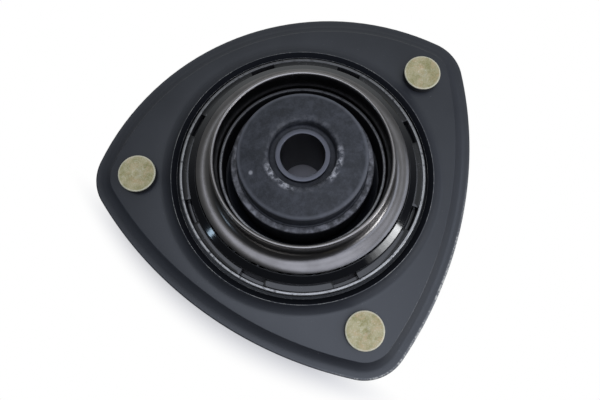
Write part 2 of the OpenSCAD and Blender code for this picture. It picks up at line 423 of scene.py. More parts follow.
@dataclass(frozen=True)
class BlackPaint:
    """Satin blue-black paint on pressed steel, rubbed and chipped along the cut edges."""

    name: str = "black_paint"
    paint: Colour = (0.0108, 0.0119, 0.0168)
    dusty: Colour = (0.0158, 0.0172, 0.0226)
    rubbed: Colour = (0.160, 0.163, 0.172)
    # Colour of the collar's end face, made near black as painted shade.
    sheared_and_shade: Colour = (0.0100, 0.0108, 0.0135)
    sheen: Colour = (0.94, 0.97, 1.0)
    bare: Colour = (0.42, 0.41, 0.38)
    fleck: Colour = (0.11, 0.11, 0.12)
    cloud_size: float = 22.0
    patch_size: float = 7.0
    chip_size: float = 0.8
    peel_size: Point = (0.55, 6.0)
    peel_depth: float = 0.010
    flat_z: float = 5.0
    bend_h: Point = (0.02, 0.3)
    cove_z: Point = (2.8, 3.15)
    satin: Point = (0.33, 0.46)
    dulled: float = 0.27
    gloss: float = 0.60

    def material(self) -> bpy.types.Material:
        """Build the paint with its chips, its flecks of dust, dull bends, a fine orange peel and painted
        shade on the collar's end face.

        Returns:
            The new material.
        """
        shade = Shade(self.name)
        cloud = shade.noise(self.cloud_size, 5.0, 0.6)
        wear = shade.worn()
        # Painted shade: the collar's end face, marked with wear below zero, is made near black, metallic and
        # dull.
        sheared_and_shade = shade.step(shade.math("MULTIPLY", wear, -1.0), 0.1, 0.8)
        patches = shade.math("MULTIPLY", shade.noise(self.patch_size, 3.0), 0.6)
        chips = shade.math("ADD", shade.noise(self.chip_size, 4.0, 0.75), patches)
        chips = shade.math("MULTIPLY", shade.step(chips, 0.78, 0.88), shade.step(wear, 0.30, 0.80))
        flecks = shade.step(shade.noise(self.chip_size, 2.0, 0.5), 0.74, 0.77)
        coat = shade.blend(shade.step(cloud, 0.3, 0.75), self.paint, self.dusty)
        coat = shade.blend(shade.math("MULTIPLY", flecks, 0.7), coat, self.fleck)
        coat = shade.blend(shade.step(wear, 0.0, 1.4), coat, self.rubbed)
        coat = shade.blend(sheared_and_shade, coat, self.sheared_and_shade)
        _, height = shade.place()
        bends = shade.math("ABSOLUTE", shade.math("SUBTRACT", height, self.flat_z * MM))
        bends = shade.step(bends, self.bend_h[0] * MM, self.bend_h[1] * MM)
        cove = shade.step(height, self.cove_z[0] * MM, self.cove_z[1] * MM)
        dull = shade.math("MAXIMUM", shade.math("MINIMUM", bends, cove), sheared_and_shade)
        satin = shade.spread(cloud, *self.satin)
        waves = shade.math("MULTIPLY", shade.noise(self.peel_size[1]), 1.5)
        shade.set(
            base_color=shade.blend(chips, coat, self.bare),
            metallic=shade.math("MAXIMUM", shade.math("MULTIPLY", chips, 0.1), sheared_and_shade),
            roughness=shade.math("ADD", satin, shade.math("MULTIPLY", dull, self.dulled)),
            specular_ior_level=self.gloss,
            specular_tint=self.sheen,
        )
        shade.bump(shade.math("ADD", shade.noise(self.peel_size[0], 2.0), waves), self.peel_depth)
        return shade.material


@dataclass(frozen=True)
class YellowZinc:
    """Yellow zinc plating, matt and blotched on the head, with a rubbed rim and painted shade on the head's
    side.
    """

    name: str = "yellow_zinc"
    pale: Colour = (0.44, 0.390, 0.230)
    olive: Colour = (0.28, 0.258, 0.108)
    pink: Colour = (0.46, 0.352, 0.195)
    rubbed: Colour = (0.80, 0.79, 0.68)
    # Near black painted on the shank and the head's side: painted shade.
    side_shade: Colour = (0.030, 0.030, 0.032)
    side_low: float = 2.0
    side_high: float = 8.0

    def material(self) -> bpy.types.Material:
        """Build the plating with its blotches, its rubbed rim and the painted shade on the head's side.

        Returns:
            The new material.
        """
        shade = Shade(self.name)
        grain = shade.noise(0.5, 5.0, 0.8)
        _, height = shade.place()
        plating = shade.blend(shade.step(shade.noise(4.5, 6.0, 0.7), 0.40, 0.62), self.pale, self.olive)
        plating = shade.blend(shade.step(shade.noise(3.2, 6.0, 0.7), 0.47, 0.68), plating, self.pink)
        bright = shade.math("MULTIPLY", shade.step(grain, 0.46, 0.74), 0.50)
        plating = shade.blend(bright, plating, self.rubbed)
        plating = shade.blend(shade.math("MULTIPLY", shade.worn(), 0.42), plating, self.rubbed)
        # Painted shade: from just above the thread to just under the head's top edge, the side is painted
        # near black.
        side = shade.step(height, self.side_low * MM, (self.side_low + 0.4) * MM)
        above = shade.step(height, self.side_high * MM, (self.side_high + 0.15) * MM)
        side = shade.math("MULTIPLY", side, shade.math("SUBTRACT", 1.0, above))
        shade.set(
            base_color=shade.blend(side, plating, self.side_shade),
            metallic=0.4,
            roughness=shade.spread(grain, 0.45, 0.72),
        )
        shade.bump(grain, 0.05)
        return shade.material


@dataclass(frozen=True)
class RaceSteel:
    """Dark pressed steel, satin, with fine rings from turning and polishing."""

    name: str = "race_steel"
    steel: Colour = (0.160, 0.153, 0.152)
    smoke: Colour = (0.130, 0.124, 0.123)
    rubbed: Colour = (0.24, 0.228, 0.222)
    ring_size: float = 0.9
    ring_depth: float = 0.0008
    satin: Point = (0.26, 0.38)

    def material(self) -> bpy.types.Material:
        """Build the steel with streaks that run round the axis.

        Returns:
            The new material.
        """
        shade = Shade(self.name)
        radius, height = shade.place()
        wave = shade.nodes.new("ShaderNodeTexNoise")
        rings = shade.nodes.new("ShaderNodeCombineXYZ")
        shade.feed(rings.inputs["X"], radius)
        shade.feed(rings.inputs["Y"], height)
        shade.feed(wave.inputs["Vector"], rings.outputs[0])
        wave.inputs["Scale"].default_value = 1.0 / (self.ring_size * MM)
        wave.inputs["Detail"].default_value = 1.0
        streak = wave.outputs["Fac"]
        cloud = shade.noise(9.0, 4.0, 0.6)
        body = shade.blend(shade.step(cloud, 0.35, 0.7), self.steel, self.smoke)
        shade.set(
            base_color=shade.blend(shade.math("MULTIPLY", shade.worn(), 0.8), body, self.rubbed),
            metallic=1.0,
            roughness=shade.spread(shade.math("MULTIPLY", streak, cloud), *self.satin),
        )
        shade.bump(streak, self.ring_depth)
        return shade.material


@dataclass(frozen=True)
class WornCoat:
    """Thin dark coat on steel, rubbed off where the mesh says and in patches."""

    name: str
    coat: Colour
    bare: Colour
    patch_size: float = 3.0
    patch_from: float = 0.42
    patch_to: float = 0.56
    rough: float = 0.45

    def material(self) -> bpy.types.Material:
        """Build the coat and the bare metal under it.

        Returns:
            The new material.
        """
        shade = Shade(self.name)
        patches = shade.step(shade.noise(self.patch_size, 5.0, 0.7), self.patch_from, self.patch_to)
        bare = shade.math("MULTIPLY", shade.worn(), patches)
        grain = shade.noise(0.4, 3.0, 0.7)
        shade.set(
            base_color=shade.blend(bare, self.coat, self.bare),
            metallic=shade.spread(bare, 0.2, 0.9),
            roughness=shade.spread(grain, self.rough - 0.1, self.rough + 0.1),
        )
        shade.bump(grain, 0.008)
        return shade.material


@dataclass(frozen=True)
class GlossPlastic:
    """Glossy black moulded plastic with a film of dust in its corners."""

    name: str = "gloss_ring"
    black: Colour = (0.0045, 0.0048, 0.0062)
    dust: Colour = (0.08, 0.08, 0.09)

    def material(self) -> bpy.types.Material:
        """Build the plastic and its dust.

        Returns:
            The new material.
        """
        shade = Shade(self.name)
        speckle = shade.step(shade.noise(0.5, 3.0, 0.75), 0.52, 0.70)
        film = shade.step(shade.noise(7.0, 4.0, 0.6), 0.45, 0.70)
        dust = shade.math("MULTIPLY", shade.math("MULTIPLY", speckle, film), shade.worn())
        shade.set(
            base_color=shade.blend(dust, self.black, self.dust),
            roughness=shade.spread(dust, 0.10, 0.55),
            specular_ior_level=0.45,
        )
        shade.bump(shade.noise(14.0, 2.0), 0.03)
        return shade.material


@dataclass(frozen=True)
class BushRubber:
    """Matt charcoal rubber with whitish bloom round the pit."""

    name: str = "bush_rubber"
    rubber: Colour = (0.0140, 0.0158, 0.0205)
    grey: Colour = (0.0420, 0.0450, 0.0560)
    # Lighter grey of the disc's rounded upper edge: a painted highlight.
    edge: Colour = (0.150, 0.155, 0.178)
    bloom: Colour = (0.42, 0.42, 0.45)
    bloom_r: float = 13.1
    bloom_w: Point = (0.3, 1.9)
    bloom_z: Point = (28.0, 30.0)
    bloom_angles: tuple[float, ...] = (-154.0, -40.0)
    speck: tuple[float, float, float] = (-19.5, 0.0, 30.0)

    def material(self) -> bpy.types.Material:
        """Build the rubber, its mottling, its bloom and a painted highlight on the disc's edge.

        Returns:
            The new material.
        """
        shade = Shade(self.name)
        radius, height = shade.place()
        x, y, _ = shade.split(shade.coords)
        patches = shade.noise(2.2, 6.0, 0.7)
        off = shade.math("ABSOLUTE", shade.math("SUBTRACT", radius, self.bloom_r * MM))
        ring = shade.math("SUBTRACT", 1.0, shade.step(off, self.bloom_w[0] * MM, self.bloom_w[1] * MM))
        hub = shade.step(height, self.bloom_z[0] * MM, self.bloom_z[1] * MM)
        ring = shade.math("MULTIPLY", ring, hub)
        bloom = shade.math("MULTIPLY", ring, 0.10)
        for angle in self.bloom_angles:
            spoke = polar(1.0, angle)
            along = shade.math("ADD", shade.math("MULTIPLY", x, spoke.x), shade.math("MULTIPLY", y, spoke.y))
            sector = shade.step(shade.math("DIVIDE", along, radius), 0.80, 0.97)
            bloom = shade.math("MAXIMUM", bloom, shade.math("MULTIPLY", ring, sector))
        bloom = shade.math("MULTIPLY", bloom, shade.step(patches, 0.42, 0.64))
        bloom = shade.math("MAXIMUM", bloom, shade.math("MULTIPLY", shade.near(self.speck, 0.3, 1.1), 0.6))
        mottle = shade.blend(shade.step(shade.noise(4.0, 8.0, 0.78), 0.36, 0.70), self.rubber, self.grey)
        # Painted highlight: where the section marks the disc's rounded upper edge, the rubber is painted
        # lighter.
        mottle = shade.blend(shade.math("MULTIPLY", shade.worn(), 0.4), mottle, self.edge)
        shade.set(
            base_color=shade.blend(bloom, mottle, self.bloom),
            roughness=shade.spread(patches, 0.50, 0.75),
            specular_ior_level=0.4,
        )
        shade.bump(shade.math("ADD", patches, shade.noise(0.5, 3.0)), 0.05)
        return shade.material


@dataclass(frozen=True)
class PlainFinish:
    """Plain steel or plastic in two close shades, with a fine grain."""

    name: str
    light: Colour
    dark: Colour
    rough: float = 0.4
    metal: float = 1.0

    def material(self) -> bpy.types.Material:
        """Build the surface and its grain.

        Returns:
            The new material.
        """
        shade = Shade(self.name)
        cloud = shade.noise(4.0, 5.0, 0.65)
        shade.set(
            base_color=shade.blend(shade.step(cloud, 0.35, 0.7), self.light, self.dark),
            metallic=self.metal,
            roughness=shade.spread(cloud, self.rough - 0.08, self.rough + 0.08),
        )
        shade.bump(shade.noise(0.3, 2.0), 0.006)
        return shade.material


def fit(piece: bpy.types.Object, finish: object, body: Body, replaces: Sequence[str]) -> None:
    """Give a new piece its finish and its place on the frame.

    Args:
        piece: The new piece.
        finish: A finish with a material method.
        body: Body that the piece rides on.
        replaces: CAD nodes that the piece stands for.
    """
    piece.data.materials.clear()
    piece.data.materials.append(finish.material())
    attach(piece, body.value)
    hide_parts(*replaces)
    LOG.info("%s on %s, %d faces", piece.name, body.value, len(piece.data.polygons))


@dataclass
class MountingPlate:
    """Pressed three-cornered plate with a coved rim and a turned-up collar, and its three studs."""

    sheet: float = 2.6
    flat_z: float = 5.0
    rim_drop: float = 2.4
    rim_w: float = 6.5
    stud_circle_r: float = 65.0
    stud_spread: float = 110.0
    corner_r: float = 18.0
    front_waist_r: float = 65.8
    rear_waist_r: float = 67.5
    root_r: float = 56.4
    bend_r: float = 5.0
    collar_angle: float = 68.0
    lip_h: float = 0.3
    rim_steps: int = 10
    corner_steps: int = 20
    side_steps: int = 36
    cut_angle: float = 60.0
    crease_angle: float = 20.0
    cut_edge: float = 0.5
    lip_edge: float = 0.3
    crease_edge: float = 0.2
    lip_wear: float = 0.75
    wall_wear: float = 0.35
    rim_wear: Point = (0.15, 0.75)
    worn_side: float = -65.0

    def stud_angles(self) -> list[float]:
        """Angles of the front, right and left studs."""
        return [-90.0, self.stud_spread - 90.0, 270.0 - self.stud_spread]

    def side_centre(self, k: int) -> Vector:
        """Centre of the side arc that follows stud k, tangent to both corner arcs.

        Args:
            k: Number of the stud, counter-clockwise from the front.

        Returns:
            The centre, in millimetres.
        """
        waist = (self.front_waist_r, self.rear_waist_r, self.front_waist_r)[k]
        mid = (self.stud_spread / 2 - 90.0, 90.0, 270.0 - self.stud_spread / 2)[k]
        half = (self.stud_spread / 2, 180.0 - self.stud_spread, self.stud_spread / 2)[k]
        reach = waist - self.corner_r
        room = reach - self.stud_circle_r * math.cos(math.radians(half))
        return polar(-(self.stud_circle_r**2 - reach**2) / (2 * room), mid)

    def side_arcs(self) -> list[tuple[Vector, float]]:
        """Centre and radius of each side's arc, counter-clockwise from the front stud.

        Returns:
            One pair for each side, in millimetres.
        """
        waists = (self.front_waist_r, self.rear_waist_r, self.front_waist_r)
        centres = [self.side_centre(k) for k in range(3)]
        return [(centre, waist + centre.length) for centre, waist in zip(centres, waists)]

    def trace_outline(self, bm: bmesh.types.BMesh) -> list[bmesh.types.BMEdge]:
        """Trace the outline by turning one vertex about the centres of its arcs.

        Args:
            bm: Mesh that takes the outline.

        Returns:
            The outline's edges, closed, counter-clockwise from the front stud's corner.
        """
        studs = [polar(self.stud_circle_r, angle) for angle in self.stud_angles()]
        centres = [self.side_centre(k) for k in range(3)]
        outwards = (studs[0] - centres[2]).normalized()
        start = studs[0] + outwards * self.corner_r
        vert = bm.verts.new(Vector((start.x, start.y, self.sheet)) * MM)
        for k in range(3):
            before = studs[k] - centres[k - 1]
            after = studs[k] - centres[k]
            end = studs[(k + 1) % 3] - centres[k]
            vert = self.sweep(bm, vert, studs[k], before, after, self.corner_steps)
            vert = self.sweep(bm, vert, centres[k], after, end, self.side_steps)
        bmesh.ops.remove_doubles(bm, verts=bm.verts[:], dist=0.01 * MM)
        return bm.edges[:]

    @staticmethod
    def sweep(
        bm: bmesh.types.BMesh,
        vert: bmesh.types.BMVert,
        centre: Vector,
        start: Vector,
        end: Vector,
        steps: int,
    ) -> bmesh.types.BMVert:
        """Carry a vertex along an arc about a centre.

        Args:
            bm: Mesh that takes the arc.
            vert: Vertex that starts the arc.
            centre: Centre of the arc, in millimetres.
            start: Outward heading at the arc's start.
            end: Outward heading at the arc's end.
            steps: Number of edges.

        Returns:
            The last vertex.
        """
        turn = (math.atan2(end.y, end.x) - math.atan2(start.y, start.x)) % math.tau
        pivot = Vector((centre.x, centre.y, 0.0)) * MM
        arc_geom = bmesh.ops.spin(bm, geom=[vert], cent=pivot, axis=UP, angle=turn, steps=steps)
        return next(item for item in arc_geom["geom_last"] if isinstance(item, bmesh.types.BMVert))

    def build_plate(self) -> bpy.types.Object:
        """Press the plate: cove its rim, join the flat to the collar and give the sheet its thickness.

        Returns:
            The plate.
        """
        bm = bmesh.new()
        outline = self.trace_outline(bm)
        flat = bmesh.ops.contextual_create(bm, geom=outline)["faces"][0]
        flat.normal_update()
        if flat.normal.z < 0:
            flat.normal_flip()
        for i in range(self.rim_steps):
            rise = self.rim_drop * ((i + 1) ** 3 - i**3) / self.rim_steps**3
            bmesh.ops.inset_region(
                bm,
                faces=[flat],
                thickness=self.rim_w / self.rim_steps * MM,
                depth=rise * MM,
                use_boundary=True,
                use_even_offset=True,
            )
        inner = flat.edges[:]
        bmesh.ops.delete(bm, geom=[flat], context="FACES_ONLY")
        section = [Corner(self.root_r + 1.0, self.flat_z)]
        bend = (self.root_r, self.flat_z + self.bend_r)
        section += arc(bend, self.bend_r, 270.0, 270.0 - self.collar_angle, 10)
        lip = Vector(section[-1][:2]) + polar(self.lip_h, 180.0 - self.collar_angle)
        section += [Corner(lip.x, lip.y)]
        spin_section(bm, section, closed=False, steps=len(inner))
        bmesh.ops.remove_doubles(bm, verts=bm.verts[:], dist=WELD)
        span = section[0].r * MM
        ring = [e for e in bm.edges if all(abs(v.co.xy.length - span) < 1e-6 for v in e.verts)]
        bmesh.ops.triangle_fill(bm, edges=inner + ring, use_beauty=True, normal=UP)
        bmesh.ops.recalc_face_normals(bm, faces=bm.faces[:])
        if sum(face.normal.z * face.calc_area() for face in bm.faces) < 0:
            bmesh.ops.reverse_faces(bm, faces=bm.faces[:])
        bmesh.ops.solidify(bm, geom=bm.faces[:], thickness=self.sheet * MM)
        bmesh.ops.recalc_face_normals(bm, faces=bm.faces[:])
        bm.normal_update()
        self.soften(bm)
        self.mark_worn_rim(bm)
        self.mark_sheared_and_shade(bm, lip)
        return as_object(bm, "plate")

    def mark_worn_rim(self, bm: bmesh.types.BMesh) -> None:
        """Mark the rounded upper edge of the rim as worn, most of all to the right of the front stud.

        Args:
            bm: The plate's mesh.
        """
        wear = bm.verts.layers.float[WEAR]
        worst = polar(1.0, self.worn_side)
        bm.normal_update()
        for vert in bm.verts:
            drop = self.sheet - vert.co.z / MM
            if vert.normal.z > 0.1 and -0.01 < drop < self.cut_edge + 0.05:
                facing = max(0.0, vert.co.xy.normalized().dot(worst))
                vert[wear] = self.rim_wear[0] + self.rim_wear[1] * facing**4

    def mark_sheared_and_shade(self, bm: bmesh.types.BMesh, lip: Vector) -> None:
        """Mark the collar's cut end face, which the paint turns near black as painted shade of the gap beside
        the case.

        Args:
            bm: The plate's mesh.
            lip: Outer corner of the end face, as radius and height in millimetres.
        """
        wear = bm.verts.layers.float[WEAR]
        along = polar(1.0, 180.0 - self.collar_angle)
        for vert in bm.verts:
            spot = Vector((vert.co.xy.length, vert.co.z)) / MM
            if vert.co.z > self.flat_z * MM and (spot - lip).dot(along) > -0.02:
                vert[wear] = -1.0

    def soften(self, bm: bmesh.types.BMesh) -> None:
        """Round the cut edges and the crease of the rim, and mark the cut edges as worn.

        Args:
            bm: The plate's mesh.
        """
        wear = bm.verts.layers.float.get(WEAR) or bm.verts.layers.float.new(WEAR)
        angles = {edge: math.degrees(edge.calc_face_angle(0.0)) for edge in bm.edges}
        cuts = [edge for edge, angle in angles.items() if angle > self.cut_angle]
        creases = [edge for edge, angle in angles.items() if self.crease_angle < angle <= self.cut_angle]
        lips = [edge for edge in cuts if edge.verts[0].co.z > self.flat_z * MM]
        rims = [edge for edge in cuts if edge.verts[0].co.z <= self.flat_z * MM]
        for edges, value in ((lips, self.lip_wear), (rims, self.wall_wear)):
            for vert in (vert for edge in edges for vert in edge.verts):
                vert[wear] = value
        offsets = ((creases, self.crease_edge), (lips, self.lip_edge), (rims, self.cut_edge))
        for edges, offset in offsets:
            bmesh.ops.bevel(
                bm,
                geom=[edge for edge in edges if edge.is_valid],
                offset=offset * MM,
                affect="EDGES",
                segments=3,
                profile=0.5,
                material=-1,
            )


@dataclass
class Stud:
    """Pressed-in stud with a round head, a dimple and a rolled thread."""

    node: str
    angle: float
    circle_r: float = 65.0
    shank_r: float = 4.0
    core_r: float = 3.4
    pitch: float = 1.25
    tip_z: float = -20.0
    thread_top: float = 1.0
    thread_sink: float = 0.2
    thread_steps: int = 24
    seat_z: float = 5.0
    head_r: float = 7.4
    head_h: float = 3.4
    dimple_r: float = 1.8
    dimple: float = 0.25

    def build(self) -> bpy.types.Object:
        """Turn the head and shank, then wind the thread round the shank.

        Returns:
            The stud.
        """
        top = self.seat_z + self.head_h
        centre = polar(self.circle_r, self.angle)
        corners = [
            Corner(self.core_r, self.tip_z),
            Corner(self.core_r, self.thread_top),
            Corner(self.shank_r, self.thread_top + 0.6),
            Corner(self.shank_r, self.seat_z),
            Corner(self.head_r, self.seat_z, 0.3),
            Corner(self.head_r, top, 0.32, 1.0),
            Corner(self.head_r - 0.75, top - 0.03),
            Corner(self.dimple_r + 0.3, top),
            Corner(self.dimple_r, top - 0.03, 0.0, 0.25),
            Corner(0.7, top - self.dimple),
        ]
        section = [Corner(0.0, self.tip_z), *rounded(corners), Corner(0.0, top - self.dimple)]
        bm = bmesh.new()
        spin_section(bm, section, centre, closed=False, steps=STUD_STEPS)
        close_up(bm)
        self.wind_thread(bm, centre)
        return as_object(bm, self.node.replace("stud", "threaded_stud"))

    def wind_thread(self, bm: bmesh.types.BMesh, centre: Vector) -> None:
        """Wind one ridge up the shank as a helix.

        Args:
            bm: Mesh that takes the ridge.
            centre: Place of the stud's axis, in millimetres.
        """
        turns = (self.thread_top - self.tip_z - self.pitch) / self.pitch
        steps = round(turns * self.thread_steps)
        crest = self.pitch / 8
        root = self.pitch * 0.46
        foot_r = self.core_r - self.thread_sink
        ridge = [(foot_r, -root), (self.shank_r, -crest), (self.shank_r, crest), (foot_r, root)]
        axis = Vector((centre.x, centre.y, 0.0)) * MM
        base = Vector((0.0, 0.0, self.tip_z + self.pitch / 2)) * MM
        verts = [bm.verts.new(axis + base + Vector((r, 0.0, z)) * MM) for r, z in ridge]
        cap = bm.faces.new(verts)
        rise = (0.0, 0.0, self.pitch / self.thread_steps * MM)
        angle = math.tau * steps / self.thread_steps
        before = set(bm.faces)
        bmesh.ops.spin(bm, geom=[cap], cent=axis, axis=UP, dvec=rise, angle=angle, steps=steps)
        thread = [face for face in bm.faces if face not in before] + [cap]
        bmesh.ops.recalc_face_normals(bm, faces=thread)


@dataclass
class Bush:
    """Bonded rubber bush: housing under the plate, steel shell, rubber and inner sleeve."""

    housing_t: float = 2.4
    flange_r: float = 58.1
    pot_depth: float = 11.0
    pot_hole_r: float = 20.0
    pot_bend: float = 2.5
    pot_corner: float = 3.0
    shell_r: float = 26.85
    shell_in_r: float = 24.45
    shell_top: float = 19.7
    disc_r: float = 23.75
    disc_top: float = 29.2
    disc_rise: float = 2.4
    pit_r: float = 12.2
    pit_z: float = 26.8
    sleeve_r: float = 9.9
    bore_r: float = 8.1
    sleeve_bottom: float = -9.0
    recess_r: float = 5.675

    def housing(self) -> list[Corner]:
        """Half section of the drawn flange and pot.

        Returns:
            Points of the section, in order.
        """
        wall = self.shell_r + self.housing_t
        bend_x = wall + self.pot_bend
        inner = rounded([
            Corner(self.shell_r, -self.pot_bend),
            Corner(self.shell_r, self.housing_t - self.pot_depth),
            Corner(self.pot_hole_r + 1.0, self.housing_t - self.pot_depth),
            Corner(self.pot_hole_r, self.housing_t - self.pot_depth, 0.4, 0.6),
            Corner(self.pot_hole_r, -self.pot_depth, 0.4, 0.6),
            Corner(self.pot_hole_r + 1.0, -self.pot_depth),
            Corner(wall, -self.pot_depth, self.pot_corner),
            Corner(wall, -self.pot_bend),
        ])
        rim = rounded([
            Corner(bend_x, 0.0),
            Corner(self.flange_r - 1.0, 0.0),
            Corner(self.flange_r, 0.0, 0.4, 0.6),
            Corner(self.flange_r, self.housing_t, 0.4, 0.6),
            Corner(self.flange_r - 1.0, self.housing_t),
            Corner(bend_x, self.housing_t),
        ])
        over = arc((bend_x, -self.pot_bend), self.pot_bend + self.housing_t, 90.0, 180.0)[1:-1]
        under = arc((bend_x, -self.pot_bend), self.pot_bend, 180.0, 90.0)[1:-1]
        return [*rim, *over, *inner, *under]

    def shell(self) -> list[Corner]:
        """Half section of the steel shell, worn on its upper edge.

        Returns:
            Points of the section, in order.
        """
        bottom = self.housing_t - self.pot_depth
        return rounded([
            Corner(self.shell_in_r, bottom),
            Corner(self.shell_r, bottom, 0.4),
            Corner(self.shell_r, self.shell_top - 1.2),
            Corner(self.shell_r, self.shell_top, 0.5, 1.0),
            Corner(self.shell_in_r, self.shell_top, 0.2, 1.0),
            Corner(self.shell_in_r, self.shell_top - 1.2),
        ])

    def rubber(self) -> list[Corner]:
        """Half section of the rubber, recessed below and raised to a hub round the pit.

        Returns:
            Points of the section, in order.
        """
        bottom = self.housing_t - self.pot_depth + 0.6
        hub_z = self.disc_top + self.disc_rise
        middle = (self.sleeve_r + self.shell_in_r) / 2
        below = arc((middle, bottom), self.recess_r, 180.0, 0.0, 20)
        above = rounded([
            Corner(self.shell_in_r, bottom),
            Corner(self.shell_in_r, self.shell_top - 0.1, 0.3),
            Corner(self.disc_r, self.shell_top - 0.1, 0.35),
            Corner(self.disc_r, self.disc_top - 1.6),
            # This corner's wear carries the painted highlight on the disc's rounded edge.
            Corner(self.disc_r, self.disc_top, 0.9, 1.0),
            Corner(self.disc_r - 1.6, self.disc_top + 0.37),
            Corner(self.pit_r + 4.6, hub_z - 0.75, 6.0),
            Corner(self.pit_r, hub_z, 1.1),
            Corner(self.pit_r, self.pit_z, 0.8),
            Corner(self.sleeve_r, self.pit_z),
            Corner(self.sleeve_r, bottom),
        ])
        return [*above, *below]

    def sleeve(self) -> list[Corner]:
        """Half section of the inner sleeve.

        Returns:
            Points of the section, in order.
        """
        return rounded([
            Corner(self.bore_r, self.sleeve_bottom + 1.0),
            Corner(self.bore_r, self.sleeve_bottom, 0.35, 1.0),
            Corner(self.sleeve_r, self.sleeve_bottom, 0.35, 1.0),
            Corner(self.sleeve_r, self.disc_top, 0.2, 1.0),
            Corner(self.bore_r, self.disc_top, 0.12, 1.0),
            Corner(self.bore_r, self.disc_top - 1.0),
        ])

    def build(self) -> None:
        """Turn the four pieces and dress them."""
        shell_finish = WornCoat(
            "shell_coat",
            coat=(0.030, 0.031, 0.036),
            bare=(0.20, 0.20, 0.22),
            patch_size=3.2,
            patch_from=0.38,
            patch_to=0.66,
            rough=0.5,
        )
        sleeve_finish = WornCoat(
            "sleeve_steel",
            coat=(0.010, 0.010, 0.011),
            bare=(0.090, 0.093, 0.110),
            patch_size=5.0,
            patch_from=0.10,
            patch_to=0.35,
            rough=0.42,
        )
        housing = turned("housing", self.housing())
        fit(housing, BlackPaint("housing_paint"), Body.MOUNT, ["bush_housing"])
        fit(turned("shell", self.shell()), shell_finish, Body.MOUNT, ["bush_shell"])
        fit(turned("rubber", self.rubber()), BushRubber(), Body.MOUNT, ["bush_rubber"])
        fit(turned("sleeve", self.sleeve()), sleeve_finish, Body.MOUNT, ["inner_sleeve"])


